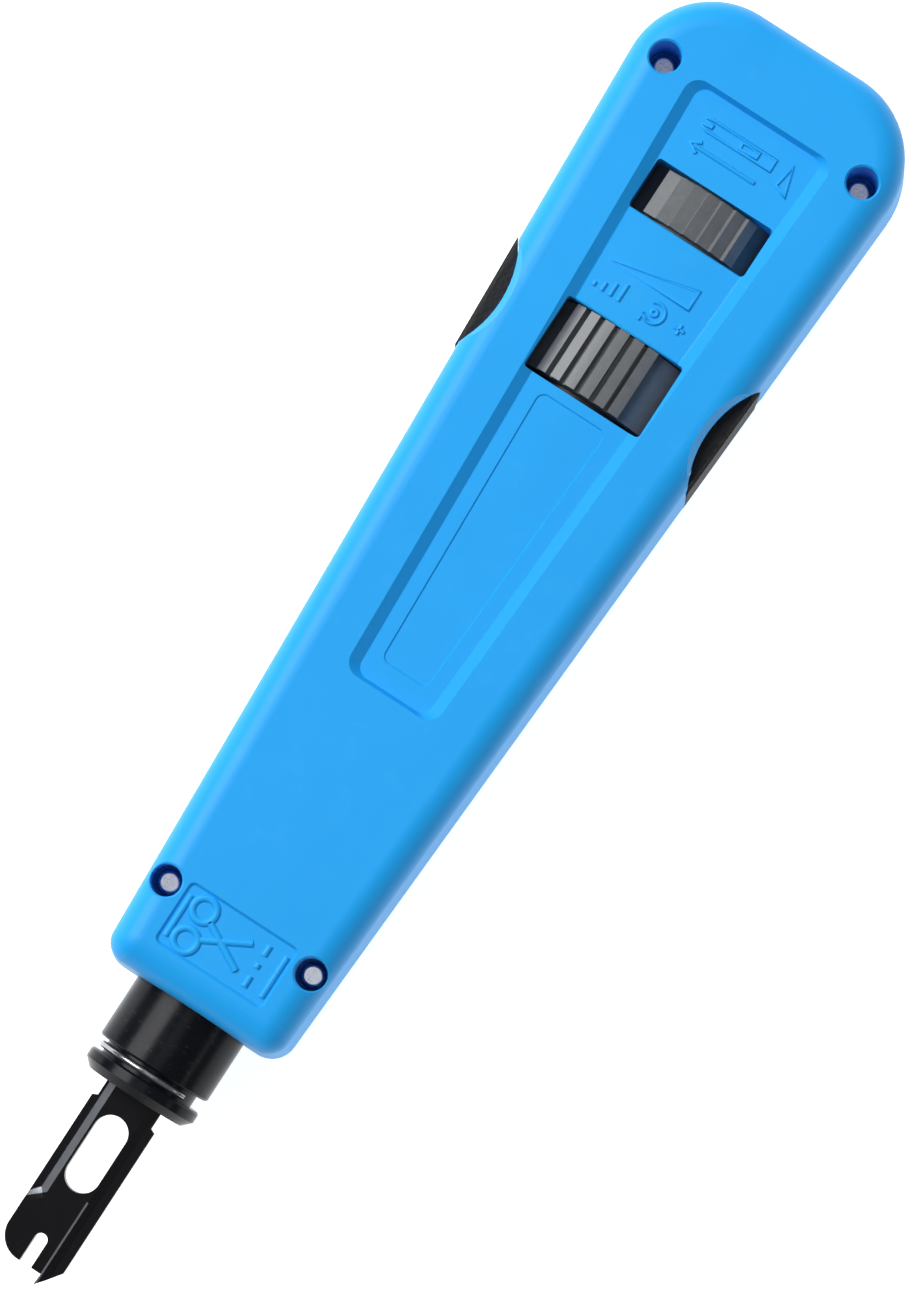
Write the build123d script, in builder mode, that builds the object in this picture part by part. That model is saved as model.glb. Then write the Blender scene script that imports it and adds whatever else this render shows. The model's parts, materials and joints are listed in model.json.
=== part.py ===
"""Punch down tool: an impact tool for seating wires, lying on its back with its nose along +X."""

from build123d import *
from math import cos, radians, sin
import os

# --- Driving dimensions, in millimetres -------------------------------------------------

# Case
tail_x = -91.2
front_x = 51.2
half_depth = 14.0
axis_z = half_depth
tail_half_width = 20.05
front_half_width = 13.18
tail_corner = 12.0
front_corner = 3.4
draft = 3.0
edge_round = 3.8
seam_chamfer = 0.18
rim_round = 0.3
wall = 2.4
beyond = 60.0

# Hollow spaces between the solid webs inside each half of the case
rooms = [(-88.7, -71.8), (-58.4, -51.0), (-33.0, -11.0), (-9.0, 13.0)]

# Label panel pressed into the front of the case
panel_tail_x, panel_front_x = -79.5, 5.6
panel_tail_half_width, panel_front_half_width = 10.5, 6.6
panel_depth = 1.1
panel_side_slope, panel_end_slope = 1.5, 0.5
panel_corner = 2.1
label_bed = (-36.4, 2.2)
label_bed_half_widths = (4.95, 3.35)
label_bed_depth = 0.18
label_bed_corner = 1.2
bed_wall_slope = 45

# Sunk bed for a raised sign near the nose
nose_bed = (37.4, 46.2)
nose_bed_half_width = 7.9
nose_bed_depth = 0.35
nose_bed_corner = 0.9

# Windows over the two thumb controls
upper_window = (-68.6, -61.6)
lower_window = (-48.2, -37.8)
window_half_width = 8.4
window_corner = 0.5

# Case screws, as (x, y) of the two on the right
screw_places = [(-79.4, 14.45), (39.2, 10.6)]
counterbore_radius = 2.03
screw_seat_height = 4.0
screw_shank_radius = 1.08
screw_head_radius = 1.65
screw_head_height = 1.7
screw_hole_radius = 1.3
screw_tip_height = 6.0
screw_boss_radius = 3.2
pilot_floor = 5.0
counterbore_rim = 0.25
drive_slot = (1.5, 0.42)
drive_depth = 0.9

# Side scallops and their grip pads
scallop_x = -42.9
scallop_length = 16.6
scallop_depth = 2.6
scallop_lip = 0.9
pad_half_height = 10.4
pad_inset = 0.25
pad_gap = 0.1
pad_chamfer = 0.5

# Nose, chuck and plunger
sleeve_radius = 7.87
groove = (59.6, 61.3)
groove_radius = 6.5
collar_end_x = 63.8
collar_chamfer = 1.1
sleeve_chamfer = 0.25
chuck_tail_x = 36.0
chuck_tail_radius = 7.0
flange = (38.8, 41.5)
flange_radius = 8.5
chuck_bore = 4.35
lug_room = (51.4, 58.0)
lug_room_radius = 5.7
bushing = (41.6, 49.4)
bushing_radius = 9.4
ring_wire = 0.42
ring_mean_radius = 6.95
ring_gap_angle = 76
ring_gap_start = 48
pin_radius = 0.6
stroke = 8.0

# Blade
tip_x = 90.1
neck_half_width = 3.94
blade_half_width = 4.6
blade_half_thickness = 1.5
margin_half_thickness = 0.8
tang_x = 52.2
lug_end_x = 57.5
lug_half_width = 5.1
paddle_x = 66.4
window_hole = (67.0, 77.7)
window_hole_radius = 2.28
wire_slot_x = 84.1
wire_slot_half_width = 0.86
shoulder = 0.3
bevel_inner_y = 3.6
bevel_end_x, bevel_runout_x = 79.4, 82.2
bevel_slope = 1.2
edge_inner_y = 3.5
corner_start_x = 85.3
corner_middle = (87.55, -3.55)
front_edge_x = 88.5
cutter_points = [(88.5, 2.3), (90.1, 2.2), (88.9, 3.2), (87.0, 4.6)]

# Hammer and sear
stem_radius = 3.0
stem_tip_radius = 2.0
stem_shoulder_x = 17.4
stem_end_x = 6.7
stem_front_x = 45.9
hammer = (-3.0, 14.4)
hammer_radius = 8.7
sear = (3.45, 6.45)
sear_half_width = 3.5
sear_shift = 0.9
sear_hole_radius = 2.3
sear_gap = 0.15
sear_top = 9.8
slot_floor = -6.9

# Guide barrel
barrel = (-35.0, 20.5)
barrel_cap_x = 18.0
barrel_bore = 8.9
barrel_radius = 10.7

# Impact wheel and its spring seat
wheel = (-48.1, -38.6)
wheel_crown = 13.4
wheel_root = 12.6
wheel_plain = 12.2
wheel_pads = 4
ridges_per_pad = 6
ridge_pitch_angle = 9.3
ridge_base_width = 1.85
ridge_side_angle = 86
ridge_depth_below_root = 0.9
pad_start_angle = 95.0
washer_radius = 9.5
wheel_room = (-48.7, -37.3)
wheel_room_radius = 12.8
crown_room_radius = 13.75
stud_radius = 5.5
stud_end_x = -52.0
seat = (-30.0, -27.0)
seat_radius = 8.6
seat_key_width = 3.0
seat_travel = 4.5

# Release ring and blade store
release = (-69.5, -60.7)
release_pad = (-68.2, -62.1)
release_radius = 10.7
release_crown = 13.25
release_bore = 8.95
release_pad_angle = 61.0
release_teeth = 7
tooth_rise = 0.55
riser_angle = 1.2
release_room = (-69.8, -60.4)
release_spring_room = (-60.4, -58.4)
release_spring_room_radius = 10.6
release_coil = (-60.0, -58.9)
release_coil_radius = 9.7
release_wire = 0.22
leg_depth = 2.2
store_radius = 8.8
store = (-90.5, -56.0)
store_room_end_x = -51.0
store_end_x = -58.0
store_chamfer = 0.5
store_half_width = 5.4
store_half_height = 2.4

fit_gap = 0.05
sleeve_gap = 0.15
flange_gap = 0.25
stud_gap = 0.4
release_gap = 0.3

os.makedirs("parts", exist_ok=True)

tool_axis = Axis((0, 0, axis_z), (1, 0, 0))
side_plane = Plane(origin=(0, 0, axis_z), x_dir=(1, 0, 0), z_dir=(0, -1, 0))
split_plane = Plane.XY.offset(axis_z)


def case_half_width(x):
    """Half the width of the case at its split line."""
    share = (x - tail_x) / (front_x - tail_x)
    return tail_half_width + share * (front_half_width - tail_half_width)


def cross_plane(x):
    """A plane across the tool's axis: its x is the tool's Y and its y is the tool's Z."""
    return Plane(origin=(x, 0, axis_z), x_dir=(0, 1, 0), z_dir=(1, 0, 0))


def turn(points, mode=Mode.ADD):
    """Revolve a closed outline of (x, radius) points about the tool's axis."""
    with BuildSketch(side_plane) as outline:
        with BuildLine():
            Polyline(*points, close=True)
        make_face()
    revolve(outline.sketch, axis=tool_axis, mode=mode)


def tube(span, inner, outer, mode=Mode.ADD):
    """A tube, or a disc when inner is 0, about the tool's axis."""
    start, end = span
    turn([(start, inner), (end, inner), (end, outer), (start, outer)], mode)


def case_outline(inset=0.0):
    """The case's outline in plan, drawn in the current sketch."""
    with BuildLine() as edge:
        Polyline(
            (tail_x + inset, -tail_half_width + inset),
            (front_x - inset, -front_half_width + inset),
            (front_x - inset, front_half_width - inset),
            (tail_x + inset, tail_half_width - inset),
            close=True,
        )
    make_face(edge.edges())


def coil(start, end, radius, wire, turns, direction):
    """A coil spring from start to end with flat closed ends left plain."""
    length = (end - start).length
    with BuildLine() as path:
        Helix(pitch=length / turns, height=length, radius=radius, center=start, direction=direction)
    with BuildSketch(Plane(path.line @ 0, z_dir=path.line % 0)) as section:
        Circle(wire)
    sweep(section.sketch, path.line, is_frenet=True)


def scallop_radius():
    """The radius whose arc is as long and as deep as the scallop."""
    return (scallop_length**2 / 4 + scallop_depth**2) / (2 * scallop_depth)


def scallop_centre(side):
    """The centre of a scallop's arc, outside the case on the +Y or -Y side."""
    return (scallop_x, side * (case_half_width(scallop_x) + scallop_radius() - scallop_depth))


# --- Case ------------------------------------------------------------------------------

with BuildPart() as case_half:
    with BuildSketch(split_plane) as plan:
        case_outline()
        fillet(plan.vertices().group_by(Axis.X)[0], tail_corner)
        fillet(plan.vertices().group_by(Axis.X)[-1], front_corner)
    extrude(plan.sketch, amount=half_depth, taper=draft)
    chamfer(case_half.faces().sort_by(Axis.Z)[0].edges(), seam_chamfer)
    fillet(case_half.faces().sort_by(Axis.Z)[-1].edges(), edge_round)

    for room_start, room_end in rooms:
        with BuildSketch(split_plane) as hollow:
            case_outline(wall)
            fillet(hollow.vertices().group_by(Axis.X)[0], tail_corner - wall)
            with Locations(((room_start + room_end) / 2, 0)):
                Rectangle(room_end - room_start, beyond, mode=Mode.INTERSECT)
        extrude(hollow.sketch, amount=half_depth - wall, taper=draft, mode=Mode.SUBTRACT)

    with BuildSketch(split_plane) as bosses:
        with Locations(*[(x, side_y * y) for x, y in screw_places[:1] for side_y in (1, -1)]):
            Circle(screw_boss_radius)
    extrude(bosses.sketch, amount=half_depth - wall, mode=Mode.ADD)

    tube((front_x + 1, bushing[0]), 0, sleeve_radius + sleeve_gap, Mode.SUBTRACT)
    tube(bushing, 0, bushing_radius, Mode.SUBTRACT)
    tube((barrel[1], bushing[0]), 0, flange_radius + flange_gap, Mode.SUBTRACT)
    tube(barrel, 0, barrel_radius, Mode.SUBTRACT)
    tube((stud_end_x, barrel[0]), 0, stud_radius + stud_gap, Mode.SUBTRACT)
    tube(wheel_room, 0, wheel_room_radius, Mode.SUBTRACT)
    tube(lower_window, 0, crown_room_radius, Mode.SUBTRACT)
    tube((tail_x - 1, store_room_end_x), 0, store_radius, Mode.SUBTRACT)
    tube(release_room, 0, release_radius + release_gap, Mode.SUBTRACT)
    tube(release_spring_room, 0, release_spring_room_radius, Mode.SUBTRACT)

    for start, end in (upper_window, lower_window):
        with BuildSketch(split_plane) as window:
            with Locations(((start + end) / 2, 0)):
                RectangleRounded(end - start, 2 * window_half_width, window_corner)
        extrude(window.sketch, amount=half_depth + 1, mode=Mode.SUBTRACT)

    for flank in (1, -1):
        with BuildSketch(split_plane) as scallop:
            with Locations(scallop_centre(flank)):
                Circle(scallop_radius())
        extrude(scallop.sketch, amount=half_depth, mode=Mode.SUBTRACT)
        with BuildSketch(split_plane.offset(half_depth)) as lip:
            with Locations(scallop_centre(flank)):
                Circle(scallop_radius() + scallop_lip)
        extrude(lip.sketch, amount=-2 * scallop_lip, taper=26.57, mode=Mode.SUBTRACT)


def panel_outline(x_inset, y_inset, corner):
    """The label panel's outline, pulled in by the given amounts."""
    with BuildSketch() as outline:
        with BuildLine():
            Polyline(
                (panel_tail_x + x_inset, -panel_tail_half_width + y_inset),
                (panel_front_x - x_inset, -panel_front_half_width + y_inset),
                (panel_front_x - x_inset, panel_front_half_width - y_inset),
                (panel_tail_x + x_inset, panel_tail_half_width - y_inset),
                close=True,
            )
        make_face()
        fillet(outline.vertices(), corner)
    return outline.sketch.face()


with BuildPart() as front_shell:
    add(case_half.part)
    top = Plane.XY.offset(2 * half_depth)
    slope = Plane.XY.offset(2 * half_depth - panel_depth)
    loft(
        [slope * panel_outline(panel_end_slope, panel_side_slope, panel_corner - 0.5),
         top * panel_outline(0, 0, panel_corner)],
        mode=Mode.SUBTRACT,
    )
    with BuildSketch(slope) as bed:
        with BuildLine():
            Polyline(
                (label_bed[0], -label_bed_half_widths[0]),
                (label_bed[1], -label_bed_half_widths[1]),
                (label_bed[1], label_bed_half_widths[1]),
                (label_bed[0], label_bed_half_widths[0]),
                close=True,
            )
        make_face()
        fillet(bed.vertices(), label_bed_corner)
    extrude(bed.sketch, amount=-label_bed_depth, taper=bed_wall_slope, mode=Mode.SUBTRACT)
    with BuildSketch(top) as sign_bed:
        with Locations(((nose_bed[0] + nose_bed[1]) / 2, 0)):
            RectangleRounded(nose_bed[1] - nose_bed[0], 2 * nose_bed_half_width, nose_bed_corner)
    extrude(sign_bed.sketch, amount=-nose_bed_depth, taper=bed_wall_slope, mode=Mode.SUBTRACT)
    panel_floor = front_shell.faces().filter_by(Axis.Z).filter_by_position(
        Axis.Z, 2 * half_depth - panel_depth - 0.01, 2 * half_depth - panel_depth + 0.01
    )[0]
    window_edges = [
        edge
        for edge in panel_floor.edges()
        if abs(edge.center().Y) < window_half_width + 0.1
        and panel_tail_x + 3 < edge.center().X < lower_window[1] + 0.1
    ]
    fillet(window_edges, rim_round)
    for x, y in screw_places:
        with Locations((x, y, 0), (x, -y, 0)):
            Cylinder(
                screw_hole_radius, beyond, align=(Align.CENTER, Align.CENTER, Align.MIN), mode=Mode.SUBTRACT
            )
        with Locations((x, y, axis_z + screw_seat_height), (x, -y, axis_z + screw_seat_height)):
            Cylinder(
                counterbore_radius, beyond, align=(Align.CENTER, Align.CENTER, Align.MIN), mode=Mode.SUBTRACT
            )
    for x, y in screw_places:
        for flank in (1, -1):
            rim = [
                edge
                for edge in front_shell.edges()
                if edge.bounding_box().min.Z > 2 * half_depth - edge_round
                and (edge.center() - Vector(x, flank * y, edge.center().Z)).length < counterbore_radius + 0.1
            ]
            chamfer(rim, counterbore_rim)
front_shell.part.label = "front_shell"

with BuildPart() as back_shell:
    mirror(case_half.part, about=split_plane)
    for x, y in screw_places:
        with Locations((x, y, pilot_floor), (x, -y, pilot_floor)):
            Cylinder(
                screw_shank_radius + fit_gap / 2,
                axis_z - pilot_floor,
                align=(Align.CENTER, Align.CENTER, Align.MIN),
                mode=Mode.SUBTRACT,
            )
back_shell.part.label = "back_shell"

with BuildPart() as case_screws:
    for x, y in screw_places:
        for flank in (1, -1):
            with Locations((x, flank * y, screw_tip_height)):
                Cylinder(
                    screw_shank_radius,
                    axis_z + screw_seat_height - screw_tip_height,
                    align=(Align.CENTER, Align.CENTER, Align.MIN),
                )
            with Locations((x, flank * y, axis_z + screw_seat_height)):
                Cylinder(
                    screw_head_radius, screw_head_height, align=(Align.CENTER, Align.CENTER, Align.MIN)
                )
    head_top = axis_z + screw_seat_height + screw_head_height
    fillet(case_screws.edges().group_by(Axis.Z)[-1], 0.6)
    with BuildSketch(Plane.XY.offset(head_top)) as drive:
        with Locations(*[(x, flank * y) for x, y in screw_places for flank in (1, -1)]):
            Rectangle(drive_slot[0], drive_slot[1])
            Rectangle(drive_slot[1], drive_slot[0])
    extrude(drive.sketch, amount=-drive_depth, mode=Mode.SUBTRACT)
case_screws.part.label = "case_screws"


def grip_pad(flank):
    """A rubber pad that fills one side scallop, its outer face following the case's flank."""
    near, far = scallop_x - scallop_length, scallop_x + scallop_length
    with BuildPart() as pad:
        with BuildSketch(Plane.XY.offset(axis_z - pad_half_height)) as plan:
            with Locations(scallop_centre(flank)):
                Circle(scallop_radius() - pad_gap)
            with BuildLine():
                Polyline(
                    (near, 0),
                    (far, 0),
                    (far, flank * (case_half_width(far) - pad_inset)),
                    (near, flank * (case_half_width(near) - pad_inset)),
                    close=True,
                )
            make_face(mode=Mode.INTERSECT)
        extrude(plan.sketch, amount=2 * pad_half_height)
        outer_face = pad.faces().sort_by(Axis.Y)[-1 if flank > 0 else 0]
        chamfer(outer_face.edges().filter_by(GeomType.LINE).group_by(Axis.Z)[0], pad_chamfer)
        chamfer(pad.edges().filter_by(GeomType.LINE).group_by(Axis.Z)[-1], pad_chamfer)
    return pad


left_grip_pad = grip_pad(-1)
left_grip_pad.part.label = "left_grip_pad"
right_grip_pad = grip_pad(1)
right_grip_pad.part.label = "right_grip_pad"

# --- Nose and plunger ------------------------------------------------------------------

with BuildPart() as nose_bushing:
    tube((bushing[0] + fit_gap, bushing[1] - fit_gap), sleeve_radius + fit_gap, bushing_radius - fit_gap)
    chamfer(nose_bushing.edges().group_by(Axis.X)[-1], 0.3)
nose_bushing.part.label = "nose_bushing"

with BuildPart() as chuck:
    turn(
        [
            (chuck_tail_x, 0),
            (chuck_tail_x, chuck_tail_radius),
            (flange[0], chuck_tail_radius),
            (flange[0], flange_radius),
            (flange[1], flange_radius),
            (flange[1], sleeve_radius),
            (groove[0] - sleeve_chamfer, sleeve_radius),
            (groove[0], sleeve_radius - sleeve_chamfer),
            (groove[0], groove_radius),
            (groove[1], groove_radius),
            (groove[1], sleeve_radius - sleeve_chamfer),
            (groove[1] + sleeve_chamfer, sleeve_radius),
            (collar_end_x - collar_chamfer, sleeve_radius),
            (collar_end_x, sleeve_radius - collar_chamfer),
            (collar_end_x, 0),
        ]
    )
    tube((lug_room[1], collar_end_x), 0, chuck_bore, Mode.SUBTRACT)
    tube(lug_room, 0, lug_room_radius, Mode.SUBTRACT)
    tube((chuck_tail_x, stem_front_x + 0.1), 0, stem_radius + fit_gap / 2, Mode.SUBTRACT)
    with BuildSketch(cross_plane(lug_room[1])) as lug_way:
        Rectangle(2 * blade_half_thickness + 0.4, 2 * lug_half_width + 0.5)
    extrude(lug_way.sketch, amount=collar_end_x - lug_room[1], mode=Mode.SUBTRACT)
    ring_x = (groove[0] + groove[1]) / 2
    with BuildSketch() as pin_way:
        with Locations((ring_x, 0)):
            Circle(pin_radius + fit_gap)
    extrude(pin_way.sketch, amount=axis_z - chuck_bore / 2, mode=Mode.SUBTRACT)
chuck.part.label = "chuck"

with BuildPart() as detent_pin:
    with Locations((ring_x, 0, axis_z - groove_radius)):
        Cylinder(pin_radius, 1.0, align=(Align.CENTER, Align.CENTER, Align.MIN))
detent_pin.part.label = "detent_pin"

ring_out = Vector(0, sin(radians(ring_gap_start)), cos(radians(ring_gap_start)))
with BuildPart() as retaining_ring:
    with BuildSketch(
        Plane(
            origin=Vector(ring_x, 0, axis_z) + ring_out * ring_mean_radius,
            x_dir=(1, 0, 0),
            z_dir=Vector(1, 0, 0).cross(ring_out),
        )
    ) as wire_end:
        Circle(ring_wire)
    revolve(wire_end.sketch, axis=tool_axis, revolution_arc=360 - ring_gap_angle)
retaining_ring.part.label = "retaining_ring"

with BuildPart() as striker_stem:
    turn(
        [
            (stem_end_x, 0),
            (stem_end_x, stem_tip_radius - 0.3),
            (stem_end_x + 0.3, stem_tip_radius),
            (stem_shoulder_x, stem_tip_radius),
            (stem_shoulder_x, stem_radius),
            (stem_front_x, stem_radius),
            (stem_front_x, 0),
        ]
    )
striker_stem.part.label = "striker_stem"

# --- Blade -----------------------------------------------------------------------------


def margin_plan(spread):
    """One thin margin of the blade in plan, with its inner edge moved in by spread."""
    inner = bevel_inner_y - spread
    with BuildSketch() as margin:
        with BuildLine():
            Polyline(
                (tang_x - 1, -inner),
                (bevel_end_x + spread, -inner),
                (bevel_runout_x + spread, -6),
                (tang_x - 1, -6),
                close=True,
            )
        make_face()
    return margin.sketch.face()


def edge_plan(spread):
    """The knife side's thin margin in plan, with its inner edge moved in by spread."""
    inner = edge_inner_y - spread
    with BuildSketch() as margin:
        with BuildLine():
            Polyline((tang_x - 1, inner), (tip_x + 2, inner), (tip_x + 2, 6), (tang_x - 1, 6), close=True)
        make_face()
    return margin.sketch.face()


with BuildPart() as blade:
    with BuildSketch(Plane.XY.offset(axis_z - blade_half_thickness)) as blade_plan:
        with BuildLine():
            l1 = Polyline(
                (tang_x, -lug_half_width),
                (lug_end_x, -lug_half_width),
                (lug_end_x, -neck_half_width),
                (paddle_x - shoulder, -neck_half_width),
                (paddle_x, -blade_half_width),
                (corner_start_x, -blade_half_width),
            )
            l2 = ThreePointArc(l1 @ 1, corner_middle, (front_edge_x, -wire_slot_half_width - 0.1))
            l3 = Polyline(
                l2 @ 1,
                *cutter_points,
                (paddle_x, blade_half_width),
                (paddle_x - shoulder, neck_half_width),
                (lug_end_x, neck_half_width),
                (lug_end_x, lug_half_width),
                (tang_x, lug_half_width),
                l1 @ 0,
            )
        make_face()
    extrude(blade_plan.sketch, amount=2 * blade_half_thickness)
    for face_side in (1, -1):
        base = axis_z + face_side * margin_half_thickness
        surface = axis_z + face_side * (blade_half_thickness + 0.1)
        for plan in (margin_plan, edge_plan):
            loft(
                [Plane.XY.offset(base) * plan(0), Plane.XY.offset(surface) * plan(bevel_slope)],
                mode=Mode.SUBTRACT,
            )
    hole_middle = (window_hole[0] + window_hole[1]) / 2
    with BuildSketch(Plane.XY.offset(axis_z - 3)) as holes:
        with Locations((hole_middle, 0)):
            SlotOverall(window_hole[1] - window_hole[0], 2 * window_hole_radius)
        with Locations(((wire_slot_x + tip_x) / 2 + 1, 0)):
            SlotOverall(tip_x - wire_slot_x + 2, 2 * wire_slot_half_width)
    extrude(holes.sketch, amount=6, mode=Mode.SUBTRACT)
blade.part.label = "blade"

# --- Hammer, sear and springs ----------------------------------------------------------

sear_middle = (sear[0] + sear[1]) / 2
sear_slope = sear_shift / stroke


def ramp(x, clearance=0.0):
    """Height above the axis of the sear's sloping end, or of the ramp that bears on it."""
    return sear_top + clearance + sear_slope * (x - sear_middle)


with BuildPart() as hammer_block:
    tube(hammer, 0, hammer_radius)
    chamfer(hammer_block.edges(), 0.5)
    tube((sear_middle, hammer[1]), 0, stem_tip_radius + 0.25, Mode.SUBTRACT)
    tube((-1.0, sear_middle), 0, stem_tip_radius + 0.35, Mode.SUBTRACT)
    with BuildSketch(Plane.XY.offset(axis_z + slot_floor)) as sear_way:
        with Locations((sear_middle, 0)):
            Rectangle(sear[1] - sear[0] + 0.2, 2 * sear_half_width + 0.2)
    extrude(sear_way.sketch, amount=20, mode=Mode.SUBTRACT)
hammer_block.part.label = "hammer"

with BuildPart() as sear_plate:
    with BuildSketch(side_plane) as sear_side:
        with BuildLine():
            Polyline(
                (sear[0], slot_floor + 1.0),
                (sear[1], slot_floor + 1.0),
                (sear[1], ramp(sear[1])),
                (sear[0], ramp(sear[0])),
                close=True,
            )
        make_face()
    extrude(sear_side.sketch, amount=sear_half_width, both=True)
    with BuildSketch(cross_plane(sear[0] - 1)) as sear_hole:
        with Locations((0, sear_shift)):
            Circle(sear_hole_radius)
    extrude(sear_hole.sketch, amount=5, mode=Mode.SUBTRACT)
    with Locations((sear_middle, 0, axis_z + slot_floor)):
        Cylinder(1.25, 3.8, align=(Align.CENTER, Align.CENTER, Align.MIN), mode=Mode.SUBTRACT)
sear_plate.part.label = "sear"

with BuildPart() as sear_spring:
    coil(
        Vector(sear_middle, 0, axis_z + slot_floor + 0.3),
        Vector(sear_middle, 0, axis_z + slot_floor + 3.4),
        0.85, 0.2, 4, (0, 0, 1),
    )
sear_spring.part.label = "sear_spring"

with BuildPart() as main_spring:
    coil(
        Vector(seat[1] + 0.9, 0, axis_z), Vector(hammer[0] - 0.9, 0, axis_z), 6.9, 0.8, 6.5, (1, 0, 0)
    )
main_spring.part.label = "main_spring"

with BuildPart() as return_spring:
    coil(
        Vector(barrel[1] + 0.6, 0, axis_z), Vector(chuck_tail_x - 0.6, 0, axis_z), 5.0, 0.5, 5.5, (1, 0, 0)
    )
return_spring.part.label = "return_spring"

with BuildPart() as guide_barrel:
    tube((barrel[0] + fit_gap, barrel[1]), 0, barrel_radius - fit_gap)
    tube((barrel[0], barrel_cap_x), 0, barrel_bore, Mode.SUBTRACT)
    tube((barrel_cap_x, barrel[1]), 0, stem_radius + 0.1, Mode.SUBTRACT)
    ramp_start, ramp_end = sear[0] - stroke - 0.6, sear[1] + 0.6
    with BuildSketch(side_plane) as ramp_side:
        with BuildLine():
            Polyline(
                (ramp_start, 5),
                (ramp_end, 5),
                (ramp_end, ramp(ramp_end, sear_gap)),
                (ramp_start, ramp(ramp_start, sear_gap)),
                close=True,
            )
        make_face()
    extrude(ramp_side.sketch, amount=sear_half_width + 0.2, both=True, mode=Mode.SUBTRACT)
    with BuildSketch(cross_plane(barrel[0])) as key_ways:
        Rectangle(2 * barrel_radius + 2, seat_key_width + 0.4)
    extrude(key_ways.sketch, amount=seat[1] + seat_travel + 0.6 - barrel[0], mode=Mode.SUBTRACT)
guide_barrel.part.label = "guide_barrel"

# --- Impact wheel ----------------------------------------------------------------------

with BuildPart() as spring_seat:
    tube(seat, 0, seat_radius)
    tube((stud_end_x, seat[0]), 0, stud_radius)
    chamfer(spring_seat.edges().group_by(Axis.X)[0], 0.6)
    with BuildSketch(cross_plane(seat[0])) as keys:
        Rectangle(2 * barrel_radius - 0.6, seat_key_width)
        Circle(seat_radius - 1, mode=Mode.SUBTRACT)
    extrude(keys.sketch, amount=seat[1] - seat[0])
spring_seat.part.label = "spring_seat"

ridge_angles = [(i - (ridges_per_pad - 1) / 2) * ridge_pitch_angle for i in range(ridges_per_pad)]
ridge_middle = wheel_root - ridge_depth_below_root

with BuildPart() as impact_wheel:
    tube(wheel, stud_radius + 0.1, wheel_plain)
    with BuildSketch(cross_plane(wheel[0])) as ridges:
        for pad in range(wheel_pads):
            middle = pad_start_angle + pad * 360 / wheel_pads
            for angle in ridge_angles:
                with PolarLocations(0, 1, start_angle=middle + angle):
                    with Locations((ridge_middle, 0)):
                        Trapezoid(
                            ridge_base_width,
                            2 * (wheel_crown - ridge_middle),
                            ridge_side_angle,
                            rotation=-90,
                        )
        Circle(wheel_plain - 1.5, mode=Mode.SUBTRACT)
        Circle(wheel_crown, mode=Mode.INTERSECT)
    extrude(ridges.sketch, amount=wheel[1] - wheel[0])
impact_wheel.part.label = "impact_wheel"

with BuildPart() as thrust_washers:
    tube((wheel_room[0] + fit_gap, wheel[0] - fit_gap), stud_radius + 0.2, washer_radius)
    tube((wheel[1] + fit_gap, wheel_room[1] - fit_gap), stud_radius + 0.2, washer_radius)
thrust_washers.part.label = "thrust_washers"

# --- Release ring and blade store ------------------------------------------------------

tooth_angle = release_pad_angle / release_teeth


def polar(radius, angle):
    """A point on the cross plane at an angle from the tool's right-hand side."""
    return (radius * cos(radians(angle)), radius * sin(radians(angle)))


def thumb_pad(middle):
    """Corners of one ribbed thumb pad: saw teeth whose steep sides face -Y on the front."""
    corners = []
    for tooth in range(release_teeth):
        low = middle - release_pad_angle / 2 + tooth * tooth_angle
        corners.append(polar(release_crown - tooth_rise, low))
        corners.append(polar(release_crown, low + tooth_angle - riser_angle))
    last = middle + release_pad_angle / 2
    corners.append(polar(release_crown - tooth_rise, last))
    corners.append(polar(release_bore + 1.2, last))
    corners.append(polar(release_bore + 0.8, middle))
    corners.append(polar(release_bore + 1.2, middle - release_pad_angle / 2))
    return corners


with BuildPart() as release_ring:
    tube(release, release_bore, release_radius)
    with BuildSketch(cross_plane(release_pad[0])) as pads:
        for middle in (90, 270):
            with BuildLine():
                Polyline(*thumb_pad(middle), close=True)
            make_face()
    extrude(pads.sketch, amount=release_pad[1] - release_pad[0])
    with BuildSketch(cross_plane(release[0])) as leaf_pocket:
        with PolarLocations(0, 1, start_angle=90 + 8.5):
            with Locations((release_bore, 0)):
                Rectangle(1.6, 1.6)
    extrude(leaf_pocket.sketch, amount=release[1] - release[0], mode=Mode.SUBTRACT)
    with BuildSketch(cross_plane(release[1])) as leg_hole:
        with Locations(polar(release_coil_radius, 270)):
            Circle(2 * release_wire)
    extrude(leg_hole.sketch, amount=-leg_depth - 0.3, mode=Mode.SUBTRACT)
release_ring.part.label = "release_ring"

with BuildPart() as release_spring:
    coil(
        Vector(release_coil[1], 0, axis_z), Vector(release_coil[0], 0, axis_z),
        release_coil_radius, release_wire, 2, (-1, 0, 0),
    )
    with BuildSketch(cross_plane(release[1] - leg_depth)) as leg:
        with Locations(polar(release_coil_radius, 270)):
            Circle(release_wire)
    extrude(leg.sketch, amount=release_coil[0] - release[1] + leg_depth)
release_spring.part.label = "release_spring"

with BuildPart() as storage_tube:
    tube(store, 0, store_radius - fit_gap)
    chamfer(storage_tube.edges().group_by(Axis.X)[0], store_chamfer)
    with BuildSketch(cross_plane(store[0])) as pocket:
        RectangleRounded(2 * store_half_width, 2 * store_half_height, 1.0)
    extrude(pocket.sketch, amount=store_end_x - store[0], mode=Mode.SUBTRACT)
    with BuildSketch(Plane.XY.offset(axis_z)) as leaf_way:
        with Locations((-68.0, 0)):
            Rectangle(16, 4)
    extrude(leaf_way.sketch, amount=20, mode=Mode.SUBTRACT)
storage_tube.part.label = "storage_tube"

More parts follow.
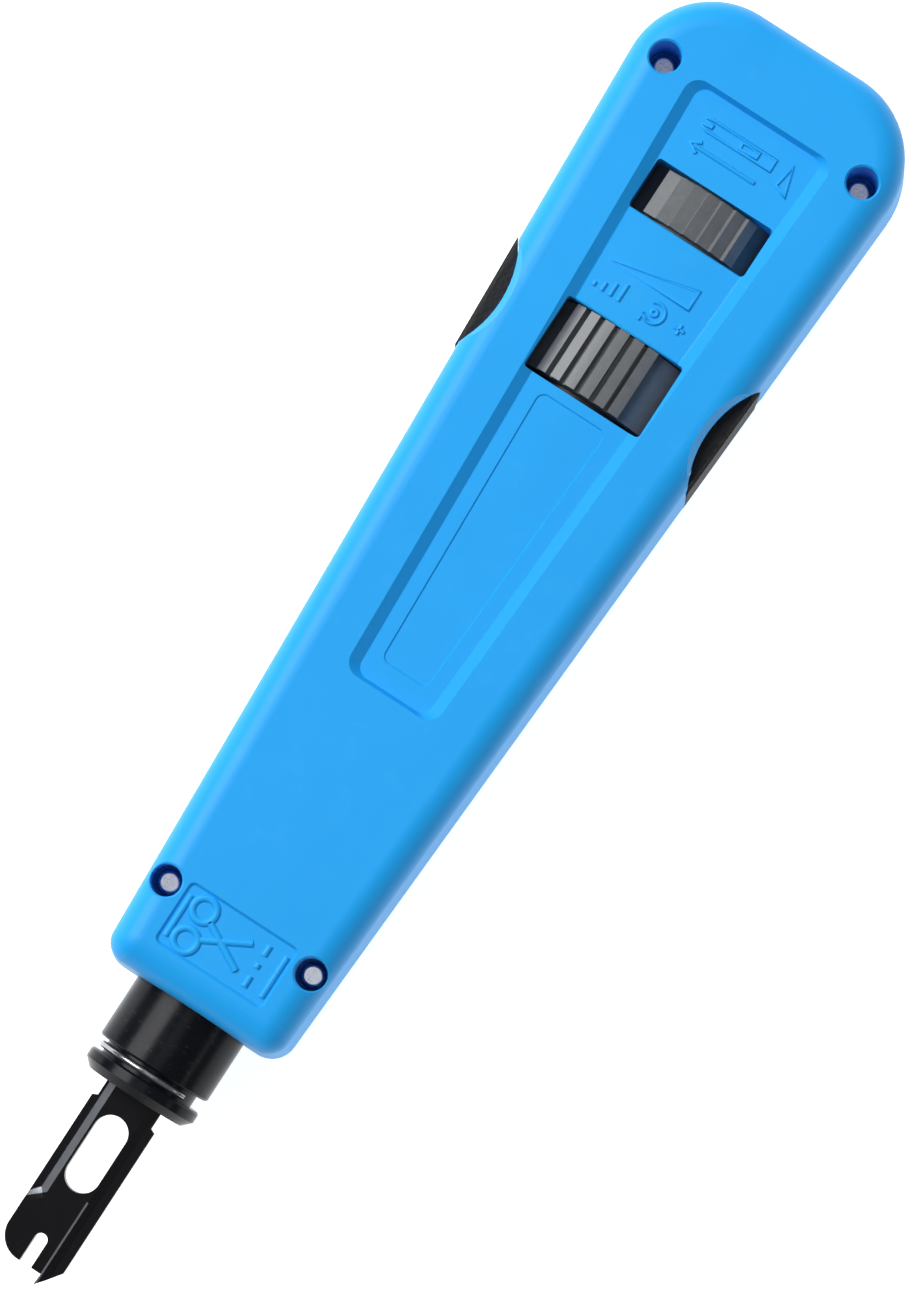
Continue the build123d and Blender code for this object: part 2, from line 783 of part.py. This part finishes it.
with BuildPart() as storage_spring:
    with BuildSketch(side_plane) as leaf_side:
        with BuildLine() as leaf_line:
            Polyline(
                (-75.9, 6.6), (-75.9, 8.0), (-71.5, 8.0), (-67.0, 6.2), (-65.0, 8.6), (-63.0, 6.2),
                (-61.0, 2.0), (-61.0, 1.4), (-61.6, 1.4), (-63.5, 5.4), (-65.0, 7.2), (-67.2, 5.4),
                (-71.7, 7.3), (-75.2, 7.3), (-75.2, 6.6),
                close=True,
            )
        make_face()
    extrude(leaf_side.sketch, amount=1.7, both=True)
storage_spring.part.label = "storage_spring"

pieces = [
    front_shell, back_shell, case_screws, left_grip_pad, right_grip_pad, nose_bushing, chuck, detent_pin,
    retaining_ring, striker_stem, blade, hammer_block, sear_plate, sear_spring, main_spring, return_spring,
    guide_barrel, spring_seat, impact_wheel, thrust_washers, release_ring, release_spring, storage_tube,
    storage_spring,
]
middle_shift = -(tail_x + tip_x) / 2
for piece in pieces:
    piece.part.move(Location((middle_shift, 0, 0)))
    export_step(piece.part, f"parts/{piece.part.label}.step")
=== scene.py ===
"""Studio view of the punch down tool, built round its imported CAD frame, in metres."""

import json
import math

import bpy
from mathutils import Matrix, Vector


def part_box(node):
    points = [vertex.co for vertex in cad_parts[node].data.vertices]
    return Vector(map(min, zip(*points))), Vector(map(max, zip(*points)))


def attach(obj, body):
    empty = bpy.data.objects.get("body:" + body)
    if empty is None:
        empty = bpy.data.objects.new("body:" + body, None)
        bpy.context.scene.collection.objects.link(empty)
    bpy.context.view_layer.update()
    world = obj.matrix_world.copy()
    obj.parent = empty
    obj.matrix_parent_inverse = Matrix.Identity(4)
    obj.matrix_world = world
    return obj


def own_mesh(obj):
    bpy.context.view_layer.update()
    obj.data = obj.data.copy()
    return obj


MM = 0.001

# Sizes of the tool that the finishes and signs are laid out on, in millimetres
panel_depth = 1.1
nose_bed_depth = 0.35
sign_origin_from_tail = 91.2
blade_margin_half_thickness = 0.82
blade_bevel_top = 1.49
blade_bevel_inner_y = -2.6
blade_face = 1.4
bevel_end = (79.95, -2.4)
bevel_end_slope = 0.9
# Where the painted highlight line along the blade's ridge lies, in millimetres
ridge_start_x = 78.5
ridge_y = 2.38
ridge_half_width = 0.13

# Camera, in millimetres, degrees and metres
focal_length = 173.1
camera_distance = 0.775
camera_target = (-4.378, 2.801, 14.0)
camera_tilt = 4.0
camera_side_lean = 0.0078
picture_down = (0.83872, 0.54456, 0)
picture_right = (-0.54456, 0.83872, 0)

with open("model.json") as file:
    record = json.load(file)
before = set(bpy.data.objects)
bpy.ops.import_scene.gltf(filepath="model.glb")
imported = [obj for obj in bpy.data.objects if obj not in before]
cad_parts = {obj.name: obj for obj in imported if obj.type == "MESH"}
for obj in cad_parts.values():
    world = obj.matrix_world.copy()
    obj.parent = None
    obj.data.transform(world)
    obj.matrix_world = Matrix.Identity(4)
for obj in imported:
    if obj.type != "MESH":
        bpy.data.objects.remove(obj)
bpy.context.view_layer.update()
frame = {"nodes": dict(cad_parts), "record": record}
nodes = frame["nodes"]

front_low, front_high = (Vector(corner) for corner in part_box("front_shell"))
axis_height = front_low.z
front_height = front_high.z
tail_end = front_low.x


# --- Shader maths ------------------------------------------------------------------------


class Wire:
    """A node socket whose operators add the Math nodes that work on it."""

    def __init__(self, finish, socket):
        self.finish = finish
        self.socket = socket

    def _math(self, operation, *values, clamp=False):
        return self.finish.node("ShaderNodeMath", {"operation": operation, "use_clamp": clamp}, values)

    def __add__(self, other):
        return self._math("ADD", self, other)

    def __radd__(self, other):
        return self._math("ADD", other, self)

    def __sub__(self, other):
        return self._math("SUBTRACT", self, other)

    def __rsub__(self, other):
        return self._math("SUBTRACT", other, self)

    def __mul__(self, other):
        return self._math("MULTIPLY", self, other)

    def __rmul__(self, other):
        return self._math("MULTIPLY", other, self)

    def __truediv__(self, other):
        return self._math("DIVIDE", self, other)

    def clamp(self):
        return self._math("ADD", self, 0.0, clamp=True)

    def above(self, edge):
        return self._math("GREATER_THAN", self, edge)

    def size(self):
        return self._math("ABSOLUTE", self)

    def wave(self):
        return self._math("SINE", self)


class Finish:
    """A material under construction: its nodes come from node(), its surface from shade()."""

    def __init__(self, name):
        self.material = bpy.data.materials.new(name)
        self.material.use_nodes = True
        self.tree = self.material.node_tree
        self.tree.nodes.clear()
        self.place = self.node("ShaderNodeTexCoord", {}, (), "Object")

    def node(self, kind, settings, values, output=0):
        """Add a node: its settings first, then the values or links of its sockets, by place or by name."""
        made = self.tree.nodes.new(kind)
        for key, setting in settings.items():
            setattr(made, key, setting)
        named = values.items() if isinstance(values, dict) else enumerate(values)
        for key, value in named:
            if isinstance(value, Wire):
                self.tree.links.new(value.socket, made.inputs[key])
            elif value is not None:
                made.inputs[key].default_value = value
        return Wire(self, made.outputs[output])

    def scaled(self, scale):
        """The object's coordinates, stretched by a number or by three."""
        factors = scale if isinstance(scale, tuple) else (scale,) * 3
        return self.node("ShaderNodeVectorMath", {"operation": "MULTIPLY"}, (self.place, factors))

    def noise(self, scale, detail=2.0, roughness=0.5):
        """Noise from 0 to 1, with scale in lumps per metre."""
        values = {"Vector": self.scaled(scale), "Scale": 1.0, "Detail": detail, "Roughness": roughness}
        return self.node("ShaderNodeTexNoise", {}, values, "Fac")

    def cells(self, scale):
        """Distance to the nearest cell centre, with scale in cells per metre."""
        return self.node("ShaderNodeTexVoronoi", {}, {"Vector": self.scaled(scale), "Scale": 1.0})

    def mix(self, share, first, second):
        """A colour between two, each a link or three numbers."""
        first, second = (c if isinstance(c, Wire) else (*c, 1.0) for c in (first, second))
        return self.node("ShaderNodeMix", {"data_type": "RGBA"}, {0: share, 6: first, 7: second}, 2)

    def axes(self):
        """The object's x, y and z."""
        split = self.tree.nodes.new("ShaderNodeSeparateXYZ")
        self.tree.links.new(self.place.socket, split.inputs[0])
        return [Wire(self, output) for output in split.outputs]

    def bump(self, height, strength, distance, below=None):
        """A normal bent by a height from 0 to 1 that stands distance metres high."""
        values = {"Height": height, "Strength": strength, "Distance": distance, "Normal": below}
        return self.node("ShaderNodeBump", {}, values)

    def shade(self, **values):
        """The surface: Principled sockets by name, with spaces written as underscores."""
        sockets = {key.replace("_", " "): value for key, value in values.items()}
        surface = self.node("ShaderNodeBsdfPrincipled", {}, sockets)
        out = self.tree.nodes.new("ShaderNodeOutputMaterial")
        self.tree.links.new(surface.socket, out.inputs["Surface"])
        return self.material


# --- Finishes ----------------------------------------------------------------------------


def blue_case_plastic():
    """Moulded sky blue plastic: spark-eroded satin, faint flow marks and a few rubbed patches."""
    f = Finish("blue_case_plastic")
    drift = f.noise(38, 3)
    flow = f.noise((30, 140, 140), 2)
    rubbed = ((f.noise(260, 6, 0.65) - 0.56).clamp() * 4.0).clamp()
    colour = f.mix(drift, (0.010, 0.335, 0.820), (0.014, 0.385, 0.910))
    colour = f.mix(flow * 0.14, colour, (0.040, 0.480, 0.960))
    colour = f.mix(rubbed * 0.08, colour, (0.16, 0.50, 0.93))
    grain = f.noise(5200, 2, 0.6)
    pits = f.cells(3600)
    normal = f.bump(grain * 0.6 + pits * 0.4, 0.14, 0.00006)
    normal = f.bump(f.noise(90, 1), 0.10, 0.0003, normal)
    return f.shade(
        Base_Color=colour, Roughness=0.42 + drift * 0.06 - rubbed * 0.06, Normal=normal,
        Specular_IOR_Level=0.20, Coat_Weight=0.03, Coat_Roughness=0.25,
    )


def grey_control_plastic():
    """Grey nylon of the thumb controls, mottled, with a little pale dust."""
    f = Finish("grey_control_plastic")
    mottled = f.noise(700, 4)
    colour = f.mix(mottled, (0.118, 0.128, 0.138), (0.165, 0.176, 0.186))
    dust = ((f.noise(1900, 3) - 0.55).clamp() * 3.0).clamp()
    colour = f.mix(dust * 0.22, colour, (0.30, 0.31, 0.32))
    normal = f.bump(f.noise(6000, 2), 0.22, 0.00005)
    return f.shade(Base_Color=colour, Roughness=0.34 + mottled * 0.12, Normal=normal)


def black_grip_rubber():
    """Soft black rubber with a fine stipple."""
    f = Finish("black_grip_rubber")
    stipple = f.cells(1700)
    wear = f.noise(300, 4)
    colour = f.mix(wear, (0.004, 0.004, 0.005), (0.010, 0.010, 0.011))
    normal = f.bump(stipple, 0.5, 0.00012)
    return f.shade(Base_Color=colour, Roughness=0.55 + wear * 0.15, Normal=normal, Specular_IOR_Level=0.3)


def turned_lines(f, spacing):
    """Fine tool marks round the X axis, one each spacing metres, uneven along it."""
    x = f.axes()[0]
    wobble = f.noise(500, 2) * 0.6
    return ((x / spacing + wobble) * math.tau).wave() * 0.5 + 0.5


def black_steel():
    """Black-oxide steel with fine turning marks and small bright rubs."""
    f = Finish("black_steel")
    marks = turned_lines(f, 0.00022)
    cloud = f.noise(420, 5, 0.6)
    rub = ((f.noise((2600, 900, 900), 5, 0.7) - 0.60).clamp() * 6.0).clamp()
    colour = f.mix(cloud, (0.0025, 0.003, 0.0045), (0.007, 0.008, 0.011))
    colour = f.mix(rub * 0.40, colour, (0.10, 0.105, 0.11))
    normal = f.bump(marks * 0.4 + f.noise(2600, 4, 0.65) * 0.6, 0.30, 0.00004)
    return f.shade(
        Base_Color=colour, Roughness=0.17 + cloud * 0.12 - rub * 0.04, Normal=normal, Specular_IOR_Level=0.13
    )


def blade_steel():
    """Black-oxide blade plate, brushed along its length, with paler worn spots.
    Its bevel is painted pale metallic, partly as ground bare steel and partly as a painted highlight,
    and a thin painted highlight runs along its ridge.
    """
    f = Finish("blade_steel")
    brushed = f.noise((250, 4200, 4200), 3)
    cloud = f.noise(600, 5, 0.6)
    worn = ((f.noise(1500, 5, 0.7) - 0.60).clamp() * 6.0).clamp()
    x, y, z = f.axes()
    height = (z - axis_height).size()
    end_x, end_y = bevel_end
    run_out = (x + (y - end_y * MM) * bevel_end_slope).above(end_x * MM)
    inside = (blade_bevel_inner_y * MM - y).above(0.0) * (1.0 - run_out)
    sloped = height.above(blade_margin_half_thickness * MM) * (1.0 - height.above(blade_bevel_top * MM))
    # The bevel's pale metal is partly ground bare steel and partly a painted highlight.
    bevel = inside * sloped
    # A thin line along the ridge, painted pale metallic as a painted highlight.
    on_line = 1.0 - (y - ridge_y * MM).size().above(ridge_half_width * MM)
    ridge = on_line * x.above(ridge_start_x * MM) * height.above(blade_face * MM)
    ground_and_highlight = (bevel + ridge * 0.7).clamp()
    colour = f.mix(cloud, (0.0015, 0.0015, 0.0022), (0.005, 0.005, 0.007))
    colour = f.mix(worn * 0.14, colour, (0.07, 0.07, 0.08))
    # Painted pale here: ground steel and painted highlight on the bevel, a painted highlight on the ridge
    # line.
    colour = f.mix(ground_and_highlight, colour, (0.200, 0.212, 0.232))
    normal = f.bump(brushed, 0.12, 0.00002)
    return f.shade(
        Base_Color=colour, Metallic=ground_and_highlight, Roughness=0.24 + cloud * 0.10, Normal=normal,
        Specular_IOR_Level=0.12,
    )


def machined_steel():
    """Bare turned steel of the hammer works."""
    f = Finish("machined_steel")
    marks = turned_lines(f, 0.0003)
    cloud = f.noise(300, 4)
    colour = f.mix(cloud, (0.42, 0.43, 0.44), (0.58, 0.58, 0.59))
    normal = f.bump(marks, 0.3, 0.00004)
    return f.shade(Base_Color=colour, Metallic=1.0, Roughness=0.26 + cloud * 0.12, Normal=normal)


def spring_wire():
    """Drawn spring wire, faintly streaked."""
    f = Finish("spring_wire")
    streak = f.noise(2400, 3)
    colour = f.mix(streak, (0.48, 0.48, 0.50), (0.70, 0.70, 0.71))
    normal = f.bump(streak, 0.15, 0.00003)
    return f.shade(Base_Color=colour, Metallic=1.0, Roughness=0.20 + streak * 0.12, Normal=normal)


def polished_wire():
    """Polished wire of the retaining ring, a little darker than the springs."""
    f = Finish("polished_wire")
    streak = f.noise(2400, 3)
    colour = f.mix(streak, (0.26, 0.27, 0.29), (0.42, 0.43, 0.45))
    normal = f.bump(streak, 0.12, 0.00003)
    return f.shade(Base_Color=colour, Metallic=0.9, Roughness=0.14 + streak * 0.10, Normal=normal)


def screw_zinc():
    """Zinc-plated screw heads with a soft mottle."""
    f = Finish("screw_zinc")
    mottle = f.noise(1800, 4)
    colour = f.mix(mottle, (0.60, 0.62, 0.68), (0.86, 0.88, 0.92))
    normal = f.bump(f.noise(4200, 2), 0.15, 0.00003)
    return f.shade(Base_Color=colour, Metallic=1.0, Roughness=0.24 + mottle * 0.10, Normal=normal)


def bushing_bronze():
    """Oil-filled sintered bronze with its open pores."""
    f = Finish("bushing_bronze")
    pores = f.cells(5200)
    cloud = f.noise(350, 4)
    colour = f.mix(cloud, (0.40, 0.25, 0.09), (0.58, 0.38, 0.16))
    normal = f.bump(pores, 0.3, 0.00004)
    return f.shade(Base_Color=colour, Metallic=0.9, Roughness=0.38 + cloud * 0.12, Normal=normal)


def black_acetal():
    """Smooth black acetal of the blade store."""
    f = Finish("black_acetal")
    cloud = f.noise(500, 3)
    colour = f.mix(cloud, (0.008, 0.008, 0.009), (0.018, 0.018, 0.020))
    normal = f.bump(f.noise(3800, 2), 0.2, 0.00004)
    return f.shade(Base_Color=colour, Roughness=0.36 + cloud * 0.1, Normal=normal)


def table_glass():
    """White opal top of a light table: pale by itself and softly lit from inside."""
    f = Finish("table_glass")
    fibres = f.noise(900, 3)
    colour = f.mix(fibres, (0.84, 0.84, 0.84), (0.88, 0.88, 0.88))
    normal = f.bump(fibres, 0.05, 0.00005)
    return f.shade(
        Base_Color=colour, Roughness=0.9, Normal=normal, Specular_IOR_Level=0.1,
        Emission_Color=(1.0, 1.0, 1.0, 1.0), Emission_Strength=0.86,
    )


finishes = {
    "case": blue_case_plastic(),
    "grip": black_grip_rubber(),
    "control": grey_control_plastic(),
    "screw": screw_zinc(),
    "black_steel": black_steel(),
    "steel": machined_steel(),
    "spring_steel": spring_wire(),
    "bronze": bushing_bronze(),
    "inner_plastic": black_acetal(),
}
own_finishes = {
    "blade": blade_steel(),
    "retaining_ring": polished_wire(),
}


def dress(piece, finish):
    """Give a piece one finish all over."""
    piece.data.materials.clear()
    piece.data.materials.append(finish)


for entry in frame["record"]["subparts"]:
    dress(nodes[entry["node"]], finishes[entry["material_slot"]])
for name, finish in own_finishes.items():
    dress(nodes[name], finish)


# --- Raised signs on the case ---------------------------------------------------------------

panel_floor = front_height - panel_depth * MM
nose_bed_floor = front_height - nose_bed_depth * MM
sign_origin = tail_end + sign_origin_from_tail * MM


def strokes(name, lines, half_width, height, base):
    """Raised rounded strokes along lines of (x, y) points in millimetres, standing on a surface at base.

    The points' x is counted from sign_origin.
    """
    curve = bpy.data.curves.new(name, "CURVE")
    curve.dimensions = "3D"
    curve.bevel_depth = half_width * MM
    curve.bevel_resolution = 3
    curve.use_fill_caps = True
    for line in lines:
        closed = line[0] == line[-1]
        points = line[:-1] if closed else line
        spline = curve.splines.new("POLY")
        spline.points.add(len(points) - 1)
        for point, (x, y) in zip(spline.points, points):
            point.co = (x * MM, y * MM, 0.0, 1.0)
        spline.use_cyclic_u = closed
    piece = bpy.data.objects.new(name, curve)
    bpy.context.scene.collection.objects.link(piece)
    piece.location = (sign_origin, 0, base + (height - half_width) * MM)
    piece.data.materials.append(finishes["case"])
    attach(piece, "case")


def arc(centre, radius, start, end, steps=20):
    """Points along an arc, its angles in degrees; a full turn closes on its first point."""
    angles = [math.radians(start + (end - start) * i / steps) for i in range(steps + 1)]
    line = [(centre[0] + radius * math.cos(a), centre[1] + radius * math.sin(a)) for a in angles]
    if abs(end - start) == 360:
        line[-1] = line[0]
    return line


def arrow_head(tip, heading, size):
    """A two-stroke arrow head whose tip points along a heading in degrees."""
    barbs = [math.radians(heading + turn) for turn in (150, -150)]
    first, last = ((tip[0] + size * math.cos(a), tip[1] + size * math.sin(a)) for a in barbs)
    return [first, tip, last]


def nose_sign():
    """Scissors between two end bars: which side of the blade cuts."""
    handles = [arc((x, -4.6), 1.55, 0, 360) for x in (39.65, 43.95)]
    blades = [[(40.5, -3.3), (43.75, 2.6)], [(43.1, -3.3), (39.85, 2.6)]]
    wire = [[(38.9, 4.5), (40.3, 4.5)], [(43.3, 4.5), (44.8, 4.5)], [(41.5, 4.5), (42.1, 4.5)]]
    bars = [[(38.9, y), (44.8, y)] for y in (-7.0, 7.0)]
    strokes("nose_sign_scissors", handles + blades[:1], 0.58, 0.34, nose_bed_floor)
    strokes("nose_sign_lower_blade", blades[1:], 0.58, 0.31, nose_bed_floor)
    strokes("nose_sign_cut_line", wire + bars, 0.5, 0.34, nose_bed_floor)


def release_sign():
    """A blade with a fork at its end, and an arrow: turn this way to free the stored blade."""
    blade_shape = [
        (-74.6, 4.0), (-76.2, 4.0), (-76.2, -5.2), (-75.8, -6.4), (-75.6, -4.9),
        (-75.2, -4.9), (-75.0, -6.4), (-74.6, -5.2), (-74.6, 4.0),
    ]
    hole = [(-75.0, -0.6), (-75.0, 1.8), (-75.8, 1.8), (-75.8, -0.6), (-75.0, -0.6)]
    way = [[(-72.3, -5.6), (-72.3, 3.2)], arrow_head((-72.3, -6.2), 270, 1.5)]
    marker = [[(-76.6, 6.2), (-72.9, 7.3), (-73.6, 5.6), (-76.6, 6.2)]]
    strokes("release_sign_blade", [blade_shape, hole], 0.26, 0.26, panel_floor)
    strokes("release_sign_arrow", way + marker, 0.32, 0.27, panel_floor)


def impact_sign():
    """A wedge and bars that grow from low to high, with a turning arrow: more or less impact."""
    wedge = [(-54.7, -6.6), (-54.7, 4.9), (-57.3, 4.9), (-54.7, -6.6)]
    rises = ((-6.6, 0.6), (-5.4, 1.2), (-4.2, 1.8), (-3.0, 2.4))
    bars = [[(-50.9, y), (-50.9 - rise, y)] for y, rise in rises]
    turning = arc((-52.1, 1.6), 1.35, 215, -60)
    head = arrow_head(turning[-1], 205, 1.1)
    hub = arc((-52.1, 1.6), 0.4, 0, 360)
    plus = [[(-52.7, 5.3), (-51.3, 5.3)], [(-52.0, 4.6), (-52.0, 6.0)]]
    strokes("impact_sign_bars", bars + [wedge], 0.34, 0.27, panel_floor)
    strokes("impact_sign_turn", [turning, head, hub] + plus, 0.27, 0.27, panel_floor)


nose_sign()
release_sign()
impact_sign()


# --- Springs, each given a mesh of its own -----------------------------------------------------


def squeeze(spring):
    """Give a spring a mesh of its own."""
    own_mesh(nodes[spring])


squeeze("return_spring")
squeeze("main_spring")
squeeze("sear_spring")


# --- Camera, lights and floor ------------------------------------------------------------------


def aim(thing, place, target, up=None):
    """Put a light or camera at a place, looking at a target."""
    back = (place - target).normalized()
    up = up or Vector((0, 0, 1) if abs(back.z) < 0.98 else (1, 0, 0))
    right = up.cross(back).normalized()
    true_up = back.cross(right)
    thing.matrix_world = Matrix.Translation(place) @ Matrix((right, true_up, back)).transposed().to_4x4()


def camera():
    """The camera, nearly square above the front of the tool and turned so that the nose points down."""
    lens = bpy.data.cameras.new("camera")
    lens.lens = focal_length
    lens.sensor_width = 36
    lens.clip_end = 20
    eye = bpy.data.objects.new("camera", lens)
    bpy.context.scene.collection.objects.link(eye)
    down = Vector(picture_down)
    right = Vector(picture_right)
    target = Vector(camera_target) * MM
    lean = down * math.tan(math.radians(camera_tilt)) + right * math.tan(camera_side_lean)
    back = (Vector((0, 0, 1)) + lean).normalized()
    aim(eye, target + back * camera_distance, target, up=-down)
    bpy.context.scene.camera = eye


def softbox(name, place, target, size, radiance):
    """A square area light that looks at a target, its face as bright as radiance times a white surface."""
    lamp = bpy.data.lights.new(name, "AREA")
    lamp.shape = "RECTANGLE"
    lamp.size, lamp.size_y = size
    lamp.energy = radiance * math.pi * size[0] * size[1]
    light = bpy.data.objects.new(name, lamp)
    bpy.context.scene.collection.objects.link(light)
    aim(light, Vector(place), Vector(target))


def round_the_axis(lean, distance, along=0.0):
    """A place seen from the tool's middle at a lean in degrees from straight up, towards +Y."""
    angle = math.radians(lean)
    return (along, distance * math.sin(angle), axis_height + distance * math.cos(angle))


def studio():
    """A light table under the tool, a big softbox on its left, small ones at its tail and right."""
    bpy.ops.mesh.primitive_plane_add(size=6, location=(0, 0, -0.0005))
    table = bpy.context.object
    table.name = "floor"
    dress(table, table_glass())
    middle = (0, 0, axis_height)
    softbox("key_light", round_the_axis(-39, 1.2, -0.12), middle, (0.75, 0.8), 8.6)
    softbox("tail_light", (-0.95, -0.1, 0.85), middle, (0.9, 0.6), 0.8)
    softbox("glint_light", round_the_axis(66, 1.2), middle, (0.4, 0.14), 2.2)
    softbox("top_light", (0.05, 0.08, 1.3), middle, (0.45, 0.45), 1.1)
    world = bpy.data.worlds.new("studio_air")
    bpy.context.scene.world = world
    world.use_nodes = True
    world.node_tree.nodes["Background"].inputs[0].default_value = (0.95, 0.97, 1.0, 1)
    world.node_tree.nodes["Background"].inputs[1].default_value = 0.16
    bpy.context.scene.view_settings.view_transform = "Standard"


camera()
studio()
